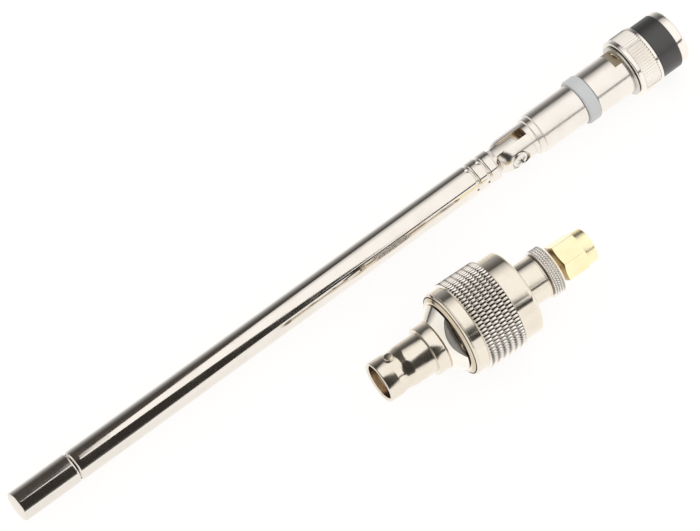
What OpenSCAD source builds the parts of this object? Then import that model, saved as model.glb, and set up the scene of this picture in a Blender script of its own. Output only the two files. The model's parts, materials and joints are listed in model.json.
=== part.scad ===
// Telescopic whip aerial with a folding elbow and a quarter-turn bayonet plug, lying beside the
// coaxial adapter that is packed with it: bayonet jack, large threaded pair, small threaded plug.
// Millimetres. +X runs along the whip towards its plug, whose mating end is x = 0. +Z is up.

/* [Whip] */
// Length of the closed whip, from the plug's mating end to the tip
whip_len = 178.3; // [176:0.1:180]
// Diameter of the outer tube and of the tip cap
mast_d = 7; // [6.8:0.1:7.2]
// Length of the tip cap
cap_len = 14.6; // [12:0.1:16]
// Wall of every drawn tube
tube_wall = 0.3; // [0.28:0.01:0.32]
// Drop in diameter from one section to the next
section_step = 0.9; // [0.88:0.01:0.92]
// Stagger of the sections' inner ends
end_stagger = 1.5; // [1:0.1:2]
// Length of each section's friction bush
bush_len = 4; // [3:0.1:5]

/* [Elbow] */
// Distance from the mating end to the hinge pin
pivot_back = 44.8; // [44:0.1:45]
// Tilt of the hinge pin from upright, towards -Y
elbow_roll = 76; // [0:1:180]
// Diameter of the forked end
fork_d = 7.7; // [7.5:0.1:7.8]
// Thickness of the tongue between the prongs
tongue_t = 2.4; // [2.2:0.05:2.9]
// Play on each side of the tongue
tongue_play = 0.05; // [0.04:0.01:0.08]
// Diameter of the hinge screw's shank
screw_d = 2.4; // [2:0.1:2.6]
// Diameter of the round barrel behind the fork
barrel_d = 9.4; // [9.2:0.1:9.6]

/* [Plug] */
// Diameter of the grey insulating ring
insulator_d = 10.8; // [10.6:0.1:11]
// Diameter of the plug shell
shell_d = 10.4; // [10.2:0.1:10.6]
// Width across the two spanner flats on the shell
flats_w = 8; // [7.6:0.1:8.6]
// Outside diameter of the slotted contact sleeve
sleeve_d = 8.1; // [8:0.01:8.1]
// Diameter of the centre pin
pin_d = 1.35; // [1.32:0.01:1.37]
// Free length of the centre pin
pin_free = 5.5; // [5:0.1:6]

/* [Coupling nut] */
// Diameter over the straight knurl
knurl_d = 14; // [13.6:0.1:14.2]
// Ribs in the straight knurl
knurl_ribs = 62; // [40:2:72]
// Diameter of the black grip ring
grip_d = 13; // [12.8:0.1:13.2]
// Bore that takes the jack's barrel
nut_bore_d = 9.84; // [9.8:0.01:9.9]
// Width of the bayonet cam slots
cam_w = 2.15; // [2.1:0.05:2.3]
// Turn of the bayonet cam
cam_turn = 72; // [60:6:78]

/* [Adapter] */
// Outside diameter of the jack's barrel
jack_d = 9.66; // [9.6:0.01:9.7]
// Bore of the jack's barrel
jack_bore_d = 8.12; // [8.1:0.01:8.15]
// Diameter of each bayonet lug
lug_d = 2; // [1.9:0.01:2.06]
// Span over the two lugs
lug_span = 11; // [10.9:0.01:11.1]
// Width across the flats of the hexagon
hex_af = 14; // [13.5:0.1:14.2]
// Smooth diameter of the large threaded nut
ring_d = 20; // [19.6:0.1:20.2]
// Diameter over the diamond knurl
diamond_d = 21.2; // [20.9:0.1:21.6]
// Diamonds round the knurl
diamonds = 74; // [36:2:80]
// Columns of diamonds along the knurl
diamond_columns = 6; // [4:1:8]
// Diameter of the barrel between the two nuts
neck_d = 10; // [9.6:0.1:10.2]
// Diameter of the fine knurled ring
fine_ring_d = 11.3; // [11:0.1:11.6]
// Width across the flats of the small gold nut
gold_af = 8; // [7.8:0.1:8]
// Diameter of the gold nut's collar
gold_collar_d = 8; // [7.6:0.1:8]

/* [Layout] */
// Jack rim of the adapter, along the whip from the mating end
adapter_back = 102.2; // [100:0.1:105]
// Distance from the whip's axis to the jack rim, towards -Y
adapter_side = 26.2; // [24:0.1:30]
// Turn of the adapter away from the whip
adapter_yaw = -2.5; // [-5:0.1:0]

/* [Hidden] */

round_fn = 96;
fit = 0.05;                // radial clearance of a turning or sliding fit
edge = 0.2;                // broken edge on turned pieces

// Stations along the whip, as x
pivot_x = -pivot_back;
tip_x = -whip_len;
mouth_x = tip_x + cap_len + 0.3;
collar_x = pivot_x - 5.6;
stem_end_x = collar_x - 9.4;
crimp_x = [collar_x - 5.3, collar_x - 2.3];
fork_end_x = pivot_x + 5.15;
barrel_x = -26.7;
shell_x = -23.7;
flats_x = -16.35;
clip_x = -14.2;
knurl_x = -13.6;
ribs_x = [-12.5, -8.35];
bevel_x = -7.7;
grip_x = -7.5;
lip_x = -2.2;

// Stations along the adapter, from the jack's rim
jack_depth = 8.4;
lug_a = 3.6;
waist_a = [2.4, 4.4, 5.3, 6.8];
jack_step_a = 12.1;
groove_a = 15.2;
hex_end_a = 17.9;
ring_rear_a = 18.15;
diamond_a = [21.9, 31.4];
ring_end_a = 36.6;
mate_a = 24.1;
neck_a = 35.5;
flange_a = 41.9;
fine_a = [42.6, 45.6];
gold_a = [45.9, 47.1, 52.6, 55.1];

jack_r = jack_d / 2;
thread_r = 7.9;            // large thread, drawn at the crest of the jack half
gold_thread_r = 2.9;       // small thread, drawn at its bore
section_count = 6;

function section_r(i) = (mast_d - (i - 1) * section_step) / 2;
function rear_x(i) = i == 1 ? collar_x : stem_end_x - 1.5 - (i - 2) * end_stagger;

// Points of a blunt nose from the axis at x0 to radius r at x1, a superellipse in n steps
function nose(x0, x1, r, n = 12) = [for (k = [0:n]) let (t = 90 * k / n)
    [x1 + (x0 - x1) * pow(abs(cos(t)), 0.8), r * pow(abs(sin(t)), 0.8)]];

// Points on an elliptical arc about [x, r], from angle a to angle b, in n steps
function arc(x, r, rx, rr, a, b, n = 6) =
    [for (k = [0:n]) let (t = a + (b - a) * k / n) [x + rx * cos(t), r + rr * sin(t)]];

// A shallow rolled groove of half-width w and depth d in a wall of radius r
function groove(x, r, w, d) = [for (k = [-3:3]) [x + w * k / 3, r - d * cos(30 * k)]];

// Revolves a profile of [x, r] points about the X axis
module turned(profile)
    rotate([0, 90, 0]) rotate_extrude($fn = round_fn) polygon([for (p = profile) [p[1], p[0]]]);

module ring(x0, x1, r_in, r_out) turned([[x0, r_in], [x1, r_in], [x1, r_out], [x0, r_out]]);

module rod(x0, x1, r) turned([[x0, 0], [x1, 0], [x1, r], [x0, r]]);

// A round hole or peg along the radius at roll angle a about the X axis
module radial(x, r, h, a, r0) rotate([a, 0, 0]) translate([x, 0, r0]) cylinder(h = h, r = r, $fn = 32);

// The elbow's own frame: Z is the hinge pin and Y the side that the whip folds towards
module elbow_frame() rotate([elbow_roll, 0, 0]) children();

// The adapter lies on its large nut, beside the whip and turned slightly from it
module adapter_frame()
    translate([-adapter_back, -adapter_side, (diamond_d - knurl_d) / 2])
        rotate([0, 0, adapter_yaw]) children();

// ---- Whip ----

// Solid brass knob, staked on the last rod
module tip_cap() color("gainsboro")
    turned(concat([[tip_x, 0], [tip_x, mast_d / 2 - 0.35]],
        arc(tip_x + 0.35, mast_d / 2 - 0.35, 0.35, 0.35, 180, 90, 4),
        arc(mouth_x - 1.1, mast_d / 2 - 0.8, 0.8, 0.8, 90, 0, 5),
        [[mouth_x - 0.3, section_r(6)], [tip_x + 4, section_r(6)], [tip_x + 4, 0]]));

// Drawn tube whose mouth is rolled in on the next section; the first is crimped on the tongue
module mast_tube(i) {
    r = section_r(i);
    lip = section_r(i + 1) + 0.03;
    roll = 1.2;
    crimps = i == 1 ? crimp_x : [];
    difference() {
        turned(concat(
            [[mouth_x + 1.5, lip], [mouth_x, lip], [mouth_x, lip + 0.1]],
            arc(mouth_x + roll, lip + 0.1, roll, r - lip - 0.1, 180, 90),
            [for (x = crimps) for (p = groove(x, r, 0.55, 0.32)) p],
            [[rear_x(i), r], [rear_x(i), r - tube_wall]],
            [for (k = [len(crimps) - 1:-1:0]) for (j = [6:-1:0])
                groove(crimps[k], r - tube_wall, 0.4, 0.32)[j]],
            [[mouth_x + 1.8, r - tube_wall]]));
        for (x = crimps, a = [0:90:270])
            rotate([a - 15, 0, 0]) translate([x - 0.55, 0, r + 0.3]) sphere(r = 0.52, $fn = 24);
    }
}

module mast_tube_1() color("gainsboro") mast_tube(1);
module mast_tube_2() color("gainsboro") mast_tube(2);
module mast_tube_3() color("gainsboro") mast_tube(3);
module mast_tube_4() color("gainsboro") mast_tube(4);
module mast_tube_5() color("gainsboro") mast_tube(5);

// The last section is a solid rod
module mast_rod() color("gainsboro") rod(tip_x + 4, rear_x(6), section_r(6));

// Split spring bush round the inner end of section i, rubbing in the tube outside it
module bush(i) color("peru") difference() {
    ring(rear_x(i) - 0.5 - bush_len, rear_x(i) - 0.5, section_r(i), section_r(i - 1) - tube_wall - 0.03);
    translate([rear_x(i) - bush_len - 1, -0.25, 0]) cube([bush_len + 1, 0.5, section_r(i) + 1]);
}

// ---- Elbow ----

// Stem crimped in the first tube, collar, and the flat tongue with its round nose and heel
module elbow_tongue() color("gainsboro") difference() {
    union() {
        turned(concat([[stem_end_x, 0], [stem_end_x, section_r(1) - tube_wall - 0.02]],
            [for (x = crimp_x) for (p = groove(x, section_r(1) - tube_wall - 0.02, 0.45, 0.34)) p],
            [[collar_x, section_r(1) - tube_wall - 0.02], [collar_x, section_r(1)],
             [collar_x + 0.35, section_r(1)], [pivot_x - 5.05, 2.8], [pivot_x - 5.05, 0]]));
        intersection() {
            rod(pivot_x - 5.4, pivot_x + 4, section_r(1));
            elbow_frame() linear_extrude(tongue_t, center = true) {
                translate([pivot_x, 0]) circle(r = 3.5, $fn = round_fn);
                translate([pivot_x - 5.3, -4]) square([5.3, 8]);
                translate([pivot_x, -2.6]) square([3.85, 2.6]);
            }
        }
    }
    elbow_frame() translate([pivot_x, 0, -4]) cylinder(h = 8, r = screw_d / 2 + fit, $fn = 48);
}

// Forked barrel, turned with a ball nose and slotted from one bar, with the spigot that the
// insulator grips
module elbow_fork() color("gainsboro") difference() {
    turned(concat(nose(pivot_x - 4.9, pivot_x - 1, fork_d / 2),
        [[fork_end_x, fork_d / 2], [fork_end_x + 0.15, 4.3], [fork_end_x + 1.4, 4.3],
         [fork_end_x + 1.55, barrel_d / 2], [barrel_x - edge, barrel_d / 2],
         [barrel_x, barrel_d / 2 - edge], [barrel_x, 2.6], [barrel_x + 6, 2.6], [barrel_x + 6, 0]]));
    elbow_frame() {
        translate([pivot_x - 6, -fork_d, -tongue_t / 2 - tongue_play])
            cube([9.9, 2 * fork_d, tongue_t + 2 * tongue_play]);
        translate([pivot_x, 0, -fork_d]) cylinder(h = 2 * fork_d, r = screw_d / 2, $fn = 48);
        translate([pivot_x, 0, fork_d / 2 - 1.2]) cylinder(h = 3, r = 2.35, $fn = 48);
    }
    rod(barrel_x + 2, barrel_x + 7, 1);
}

// Pan-head screw with a cross recess, tapped into the far prong
module hinge_screw() color("silver") elbow_frame() translate([pivot_x, 0, 0]) difference() {
    rotate_extrude($fn = 48) polygon(concat([[0, -3.2], [screw_d / 2 - edge, -3.2],
        [screw_d / 2, -3], [screw_d / 2, fork_d / 2 - 1.2], [2, fork_d / 2 - 1.2]],
        [for (k = [0:5]) [2 * cos(15 * k), fork_d / 2 - 0.7 + 0.65 * sin(15 * k)]],
        [[0, fork_d / 2 - 0.05]]));
    for (a = [25, 115]) rotate([0, 0, a]) translate([-1.15, -0.26, fork_d / 2 - 0.7]) cube([2.3, 0.52, 2]);
}

// ---- Plug ----

// Grey moulded ring whose sleeve parts the live barrel from the shell
module insulator_ring() color("silver")
    turned([[barrel_x, 2.6], [barrel_x + 6, 2.6], [barrel_x + 6, 1], [barrel_x + 8.2, 1],
        [barrel_x + 8.2, 4.1], [shell_x, 4.1], [shell_x, insulator_d / 2 - edge],
        [shell_x - edge, insulator_d / 2], [barrel_x + edge, insulator_d / 2],
        [barrel_x, insulator_d / 2 - edge]]);

// Shell with two spanner flats, the clip's groove, the nut's journal and the thrust flange
module plug_shell() color("gainsboro") difference() {
    turned([[shell_x, 4.1], [shell_x, shell_d / 2 - edge], [shell_x + edge, shell_d / 2],
        [clip_x - 0.1, shell_d / 2], [clip_x, shell_d / 2 - 0.1], [clip_x, 4.7], [clip_x + 0.45, 4.7],
        [clip_x + 0.45, 5], [-8.9, 5], [-8.9, 5.85], [-8, 5.85], [-8, 4.25], [clip_x, 4.25],
        [clip_x, 3.5], [barrel_x + 8.2, 3.5], [barrel_x + 8.2, 4.1]]);
    for (a = [-35, 145]) rotate([a, 0, 0])
        translate([flats_x, -shell_d, flats_w / 2]) cube([2.4, 2 * shell_d, shell_d]);
}

// Brass stud that carries the signal from the barrel's spigot to the centre pin
module feed_stud() color("goldenrod") rod(barrel_x + 2, clip_x + 2, 1);

// White insulator, hollow in front for the nose of the mating jack
module plug_insulator() color("white")
    turned([[barrel_x + 8.2, 1], [clip_x + 2, 1], [clip_x + 2, 0.9], [-8.4, 0.9], [-8.4, 2.45],
        [-2.6, 2.45], [-2.6, 3.5], [barrel_x + 8.2, 3.5]]);

// Gilt centre pin with a round nose
module plug_pin() color("gold")
    turned(concat([[clip_x + 2, 0], [clip_x + 2, 0.9], [-8.4, 0.9], [-8.4, pin_d / 2]],
        arc(pin_free - 8.4, 0, pin_d / 2, pin_d / 2, 90, 0, 5)));

// Outer contact of four springy fingers, pressed in the shell
module contact_sleeve() color("gainsboro") difference() {
    turned([[clip_x, 3.5], [clip_x, 4.25], [-7.2, 4.25], [-7.2, sleeve_d / 2],
        [-0.3, sleeve_d / 2], [0, sleeve_d / 2 - 0.25], [0, 3.6], [-0.1, 3.5]]);
    for (a = [45, 135]) rotate([a, 0, 0]) translate([-6, -6, -0.25]) cube([8, 12, 0.5]);
}

// Rubber gasket that the jack's rim bears on
module plug_gasket() color("darkslategray") ring(-7.9, -7.3, 4.25, 4.85);

// Spring that pushes the nut back, pressed nearly flat against the shell's flange
module wave_washer() color("silver") difference() {
    ring(-9.5, -8.9, 5.05, 5.8);
    for (a = [0:120:240]) rotate([a, 0, 0]) {
        translate([-9.65, -3, 4]) cube([0.3, 6, 3]);
        rotate([60, 0, 0]) translate([-9.05, -3, 4]) cube([0.3, 6, 3]);
    }
}

// Flat washer between the wave washer and the nut
module thrust_washer() color("silver") ring(-10.85, -10.4, 5.06, 5.8);

// Open spring clip in the shell's groove, behind the nut
module retaining_clip() color("silver") difference() {
    ring(clip_x, clip_x + 0.45, 4.7, 6.1);
    rotate([200, 0, 0]) translate([clip_x - 1, -1.2, 4]) cube([3, 2.4, 3]);
}

// Knurled rear half of the coupling nut, with the inner flange that the spring bears on
module knurled_ring() color("gainsboro") difference() {
    union() {
        turned([[knurl_x, 5], [knurl_x, knurl_d / 2 - 0.35], [knurl_x + 0.3, knurl_d / 2 - 0.05],
            [ribs_x[0], knurl_d / 2 - 0.05], [ribs_x[0], knurl_d / 2 - 0.3],
            [ribs_x[1], knurl_d / 2 - 0.3], [ribs_x[1], knurl_d / 2 - 0.05],
            [bevel_x, knurl_d / 2 - 0.05], [grip_x, grip_d / 2 + 0.1], [grip_x, 5]]);
        translate([ribs_x[0], 0, 0]) rotate([0, 90, 0])
            linear_extrude(ribs_x[1] - ribs_x[0]) polygon([for (k = [0:2 * knurl_ribs - 1])
                let (r = knurl_d / 2 - (k % 2) * 0.3, t = 180 * k / knurl_ribs)
                    [r * cos(t), r * sin(t)]]);
    }
    rod(knurl_x - 1, 0, 5.05);
    rod(-10.9, 0, 6);
}

// Front half: the bore for the jack, two cam slots and the rounded lip
module bayonet_sleeve() color("gainsboro") difference() {
    turned(concat([[-7.85, nut_bore_d / 2], [-7.85, 6], [grip_x, 6], [grip_x, 5.75], [lip_x, 5.75],
        [lip_x, grip_d / 2 - 0.2]],
        arc(-0.9, grip_d / 2 - 1.1, 0.9, 0.9, 90, 0, 5),
        [[0, nut_bore_d / 2 + 0.3], [-0.3, nut_bore_d / 2]]));
    for (half = [0, 180]) rotate([half + 110, 0, 0]) {
        translate([-2.4, -cam_w / 2, 4]) cube([3, cam_w, 1.68]);
        for (a = [0:6:cam_turn])
            radial(-2.4 - 1.7 * a / cam_turn, cam_w / 2, 3, a, 4);
        radial(-3.8, cam_w / 2 + 0.05, 3, cam_turn + 4, 4);
    }
}

// Black moulded ring over the cam slots
module grip_ring() color("dimgray")
    turned([[grip_x, 5.75], [grip_x, grip_d / 2 - 0.1], [grip_x + 0.1, grip_d / 2],
        [lip_x - 0.1, grip_d / 2], [lip_x, grip_d / 2 - 0.1], [lip_x, 5.75]]);

// ---- Adapter ----

// One turned body: bayonet jack with its lugs, step, hexagon and the journal of the large nut
module jack_body() color("gainsboro") adapter_frame() difference() {
    union() {
        turned([[0, 0], [0, jack_r - 0.3], [0.3, jack_r], [waist_a[0], jack_r],
            [waist_a[1], jack_r - 0.3], [waist_a[2], jack_r - 0.3], [waist_a[3], jack_r],
            [jack_step_a, jack_r], [jack_step_a, 5.6], [jack_step_a + 0.15, 5.75], [groove_a - 0.3, 5.75],
            [groove_a - 0.15, 5.45], [groove_a + 0.5, 5.45],
            [groove_a + 0.5, 6.05], [20.8, 6.05], [20.8, 5.6], [21.6, 5.6],
            [21.6, 6.05], [22.8, 6.05], [23, 5.85], [23, 0]]);
        for (a = [-17, 163]) radial(lug_a, lug_d / 2, lug_span / 2 - 3, a, 3);
        intersection() {
            turned([[groove_a - 0.05, 0], [groove_a - 0.05, 6.3], [hex_end_a - 0.05, 8.15],
                [hex_end_a, 8.15], [hex_end_a, 0]]);
            rotate([0, 90, 0])
                cylinder(h = 30, r = hex_af / 2 / cos(30), $fn = 6);
        }
    }
    turned([[-1, 0], [-1, jack_bore_d / 2 + 1.35], [0, jack_bore_d / 2 + 0.35], [0.35, jack_bore_d / 2],
        [jack_depth, jack_bore_d / 2], [jack_depth, 2.4], [13.5, 2.4], [13.5, 4.3], [24, 4.3], [24, 0]]);
}

// White insulator with the nose that enters the mating plug
module jack_insulator() color("white") adapter_frame()
    turned([[3.4, 0.9], [3.4, 2.16], [3.6, 2.36], [jack_depth, 2.36], [jack_depth, 2.4],
        [13.5, 2.4], [13.5, 1.1], [3.9, 1.1], [3.9, 0.9]]);

// Socket that takes a centre pin
module jack_contact() color("gold") adapter_frame() difference() {
    turned([[3.9, 0.69], [3.9, 1.1], [15, 1.1], [15, 0], [9.4, 0], [9.4, 0.69]]);
    translate([3, -2, -0.1]) cube([4, 4, 0.2]);
}

// Insulator of the threaded end
module ring_insulator() color("white") adapter_frame()
    turned([[13.5, 1.1], [13.5, 4.3], [14.5, 4.3], [14.5, 3.5], [23.5, 3.5], [23.5, 1.5], [15, 1.5],
        [15, 1.1]]);

// Stepped pin of the threaded end
module ring_pin() color("gold") adapter_frame()
    turned(concat([[15, 0], [15, 1.5], [24.5, 1.5], [24.5, 0.8]], arc(28.1, 0, 0.8, 0.8, 90, 0, 5)));

// Slotted contact sleeve of the threaded end
module ring_sleeve() color("gainsboro") adapter_frame() difference() {
    turned([[14.5, 3.5], [14.5, 4.3], [23, 4.3], [23, 4.15], [23.8, 4.15], [23.8, 3.98], [29.3, 3.98],
        [29.5, 3.8], [29.5, 3.5]]);
    for (a = [0, 90]) rotate([a, 0, 0]) translate([24.5, -6, -0.25]) cube([7, 12, 0.5]);
}

// Gasket between the two threaded halves
module ring_gasket() color("darkslategray") adapter_frame() ring(23, 23.8, 4.15, 5.8);

// Spring clip that holds the large nut on the body
module ring_clip() color("silver") adapter_frame() difference() {
    ring(20.85, 21.55, 5.6, 7.2);
    translate([20, -0.8, 5]) cube([3, 1.6, 3]);
}

// Large threaded nut, smooth at both ends, waisted under its knurled band
module ring_nut() color("gainsboro") adapter_frame()
    turned(concat([[ring_rear_a, 6.1], [ring_rear_a, 8.9], [ring_rear_a + 1.05, ring_d / 2],
        [diamond_a[0], ring_d / 2], [diamond_a[0], ring_d / 2 - 0.1], [diamond_a[1], ring_d / 2 - 0.1]],
        arc(ring_end_a - 1, ring_d / 2 - 1.1, 1, 1, 90, 0, 5),
        [[ring_end_a, thread_r + 0.35], [ring_end_a - 0.3, thread_r + fit], [23.5, thread_r + fit],
         [23.5, 8.1], [20.7, 8.1], [20.7, 6.1]]));

// Diamond-knurled band. Each row of its outer wall lies half a diamond round from the last, so
// peaks and valleys alternate both ways, and every quad is folded along its two valley corners.
module ring_knurl() {
    span = diamond_a[1] - diamond_a[0];
    pitch = span / diamond_columns;
    rows = diamond_columns + 2;
    around = 2 * diamonds;
    depth = 0.5;
    function row_a(c) = diamond_a[0] + (c == 0 ? 0 : c == rows - 1 ? span : (c - 0.5) * pitch);
    function row_r(c, k) =
        diamond_d / 2 - (c > 0 && c < rows - 1 && (k + c) % 2 == 0 ? 0 : depth);
    function at(a, r, k) = [a, r * cos(360 * k / around), r * sin(360 * k / around)];
    function id(c, k) = c * around + k % around;
    outer = [for (c = [0:rows - 1], k = [0:around - 1]) at(row_a(c), row_r(c, k), k)];
    inner = [for (c = [0, rows - 1], k = [0:around - 1]) at(row_a(c), ring_d / 2 - 0.1, k)];
    quads = [for (k = [0:around - 1]) each [
        [id(0, k), id(0, k + 1), id(rows, k + 1), id(rows, k)],
        [id(rows, k), id(rows, k + 1), id(rows + 1, k + 1), id(rows + 1, k)],
        [id(rows + 1, k), id(rows + 1, k + 1), id(rows - 1, k + 1), id(rows - 1, k)]]];
    bumps = [for (c = [0:rows - 2], k = [0:around - 1]) each (k + c) % 2 == 0
        ? [[id(c, k), id(c + 1, k), id(c, k + 1)], [id(c, k + 1), id(c + 1, k), id(c + 1, k + 1)]]
        : [[id(c, k), id(c + 1, k), id(c + 1, k + 1)], [id(c, k), id(c + 1, k + 1), id(c, k + 1)]]];
    color("gainsboro") adapter_frame() polyhedron(concat(outer, inner), concat(bumps, quads));
}

// Jack half of the threaded pair, drawn down to the neck and the flange before the fine ring
module neck_body() color("gainsboro") adapter_frame() turned([[mate_a, 4.05],
    [mate_a, thread_r - 0.4], [mate_a + 0.4, thread_r], [neck_a, thread_r], [neck_a, neck_d / 2],
    [flange_a, neck_d / 2], [flange_a, 5.3], [flange_a + 0.3, 5.3], [flange_a + 0.3, 5],
    [44.5, 5], [44.5, 1.9], [34, 1.9], [34, 4.05]]);

module neck_insulator() color("white") adapter_frame()
    turned([[30.3, 1.5], [30.3, 4.05], [34, 4.05], [34, 1.9], [42.5, 1.9], [42.5, 0.64], [34.5, 0.64],
        [34.5, 1.5]]);

module neck_contact() color("gold") adapter_frame() difference() {
    turned([[25.2, 0.85], [25.2, 1.35], [25.5, 1.5], [34.5, 1.5], [34.5, 0], [30.5, 0], [30.5, 0.85]]);
    translate([25, -2, -0.1]) cube([4, 4, 0.2]);
}

// Ring with the fine knurl, screwed over the neck's end against the flange
module fine_ring() color("lightgray") adapter_frame()
    turned([[fine_a[0], 5], [fine_a[0], fine_ring_d / 2 - 0.15], [fine_a[0] + 0.15, fine_ring_d / 2],
        [fine_a[1] - 0.5, fine_ring_d / 2], [fine_a[1], fine_ring_d / 2 - 0.5], [fine_a[1], 2.7],
        [44.5, 2.7], [44.5, 5]]);

// Gold body of the small plug: the nut's journal and the mating ferrule
module gold_ferrule() color("gold") adapter_frame()
    turned([[44.5, 1.9], [44.5, 2.7], [47.5, 2.7], [47.5, 2.45], [48.1, 2.45], [48.1, 2.7],
        [48.3, 2.7], [48.3, 2.5], [48.9, 2.5], [48.9, 2.29], [52, 2.29], [52.2, 2.1], [52.2, 1.9]]);

module gold_insulator() color("white") adapter_frame()
    ring(42.5, 52.2, 0.64, 1.9);

module gold_pin() color("gold") adapter_frame()
    turned(concat([[34.5, 0], [34.5, 0.64], [52.2, 0.64], [52.2, 0.457]],
        arc(53.9, 0, 0.457, 0.457, 90, 0, 4)));

module gold_gasket() color("firebrick") adapter_frame() ring(48.3, 48.9, 2.5, 2.85);

module gold_clip() color("silver") adapter_frame() difference() {
    ring(47.55, 48.05, 2.45, 3.2);
    translate([47, -0.5, 2]) cube([2, 1, 2]);
}

// Hexagonal nut with chamfered corners and a round collar
module gold_nut() color("gold") adapter_frame() difference() {
    union() {
        intersection() {
            turned([[gold_a[0], 0], [gold_a[0], 3.6], [gold_a[1], 4.62], [gold_a[2] - 0.35, 4.62],
                [gold_a[2], 4.2], [gold_a[2], 0]]);
            rotate([1.5, 0, 0]) translate([gold_a[0], 0, 0]) rotate([0, 90, 0])
                cylinder(h = 10, r = gold_af / 2 / cos(30), $fn = 6);
        }
        turned([[gold_a[2] - 1, 0], [gold_a[2] - 1, gold_collar_d / 2 - 0.01],
            [gold_a[3] - 0.25, gold_collar_d / 2 - 0.01], [gold_a[3], gold_collar_d / 2 - 0.25],
            [gold_a[3], 0]]);
    }
    turned([[gold_a[0] - 1, 0], [gold_a[0] - 1, 2.75], [47.4, 2.75], [47.4, 3.3], [48.4, 3.3],
        [48.4, gold_thread_r], [gold_a[3] - 0.3, gold_thread_r], [gold_a[3] + 0.1, gold_thread_r + 0.4],
        [gold_a[3] + 0.1, 0]]);
}

tip_cap();
mast_tube_1();
mast_tube_2();
mast_tube_3();
mast_tube_4();
mast_tube_5();
mast_rod();
for (i = [2:section_count]) bush(i);
elbow_tongue();
elbow_fork();
hinge_screw();
insulator_ring();
plug_shell();
feed_stud();
plug_insulator();
plug_pin();
contact_sleeve();
plug_gasket();
wave_washer();
thrust_washer();
retaining_clip();
knurled_ring();
bayonet_sleeve();
grip_ring();
jack_body();
jack_insulator();
jack_contact();
ring_insulator();
ring_pin();
ring_sleeve();
ring_gasket();
ring_clip();
ring_nut();
ring_knurl();
neck_body();
neck_insulator();
neck_contact();
fine_ring();
gold_ferrule();
gold_insulator();
gold_pin();
gold_gasket();
gold_clip();
gold_nut();
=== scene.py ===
# Looks of a closed telescopic whip aerial with its folding elbow and bayonet plug, and of the
# loose coaxial adapter beside it. Shapes are worked out in millimetres, in the frame of the
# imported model, and become metres where a mesh is made.
import json
import math

import bmesh
import bpy
import numpy as np
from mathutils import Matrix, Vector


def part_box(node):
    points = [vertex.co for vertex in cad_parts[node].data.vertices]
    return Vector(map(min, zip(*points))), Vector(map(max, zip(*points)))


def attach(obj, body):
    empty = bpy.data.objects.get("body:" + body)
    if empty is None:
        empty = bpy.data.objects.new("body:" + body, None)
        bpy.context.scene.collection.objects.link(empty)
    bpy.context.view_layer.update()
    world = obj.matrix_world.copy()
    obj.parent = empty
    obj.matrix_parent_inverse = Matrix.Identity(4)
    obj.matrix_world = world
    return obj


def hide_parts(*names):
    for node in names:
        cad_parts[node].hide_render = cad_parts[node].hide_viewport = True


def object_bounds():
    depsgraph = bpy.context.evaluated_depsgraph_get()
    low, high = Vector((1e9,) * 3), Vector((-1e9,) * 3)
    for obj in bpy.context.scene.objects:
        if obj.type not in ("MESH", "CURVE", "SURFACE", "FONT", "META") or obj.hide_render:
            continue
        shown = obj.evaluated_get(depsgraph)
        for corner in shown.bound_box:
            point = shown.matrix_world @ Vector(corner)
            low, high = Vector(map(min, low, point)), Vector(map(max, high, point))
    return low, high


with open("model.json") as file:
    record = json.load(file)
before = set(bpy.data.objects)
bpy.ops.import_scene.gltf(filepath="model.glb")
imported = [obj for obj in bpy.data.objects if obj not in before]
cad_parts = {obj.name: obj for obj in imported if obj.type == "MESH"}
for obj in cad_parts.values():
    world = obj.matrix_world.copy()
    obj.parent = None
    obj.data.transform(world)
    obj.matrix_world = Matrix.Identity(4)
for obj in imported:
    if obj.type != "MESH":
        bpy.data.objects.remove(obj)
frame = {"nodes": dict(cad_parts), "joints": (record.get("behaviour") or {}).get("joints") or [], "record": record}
cad_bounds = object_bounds()
joints = {j["name"]: j for j in frame["joints"]}
MM = 0.001
# Points of a mesh that are nearer to each other than this, in metres, become one.
WELD = 2e-7


# ---- Tip knob ----
# The knob is the pull of the whip: a brass pin turned to the size of the outer tube, its ends
# rounded over and nickel plated, and staked on the innermost rod.

def extent(node):
    """First x, last x and radius of a CAD node that is turned about the X axis, in millimetres."""
    low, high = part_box(node)
    return low.x / MM, high.x / MM, high.z / MM


def rounded(corners, steps=6):
    """Closed outline through corners [x, r, soft]. A corner P becomes P + (1-s)^2 soft u + s^2 soft v
    for s from 0 to 1, where u and v point from P to the corners before and after it."""
    corners = np.array(corners, float)
    place, soft = corners[:, :2], corners[:, 2]
    before, after = np.roll(place, 1, 0) - place, np.roll(place, -1, 0) - place
    before /= np.linalg.norm(before, axis=1)[:, None]
    after /= np.linalg.norm(after, axis=1)[:, None]
    s = np.linspace(0, 1, steps)[None, :, None]
    points = place[:, None] + soft[:, None, None] * ((1 - s) ** 2 * before[:, None] + s**2 * after[:, None])
    return points[(soft[:, None] > 0) | (s[:, :, 0] == 0)]


def round_angles(around):
    """Equal angles round the X axis: 0 is up and a quarter turn is towards -Y."""
    return np.linspace(0, 2 * np.pi, around, endpoint=False)


def spun(x, r, around=192):
    """Points (x, -r sin f, r cos f) for f round the X axis. x has one value per row; r has one value
    per row, or a table of rows by angles."""
    f = round_angles(around)
    x = np.asarray(x)[:, None]
    r = np.asarray(r)
    r = r[:, None] if r.ndim == 1 else r
    return np.stack(np.broadcast_arrays(x, -r * np.sin(f), r * np.cos(f)), axis=-1)


def turned(corners, around=192):
    """The rounded outline of the corners, carried round the X axis."""
    return spun(*rounded(corners).T, around)


def closes(grid):
    """True unless the first and the last row of a grid are each a single point."""
    return np.ptp(grid[[0, -1]], axis=1).max() > 1e-6


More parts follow.
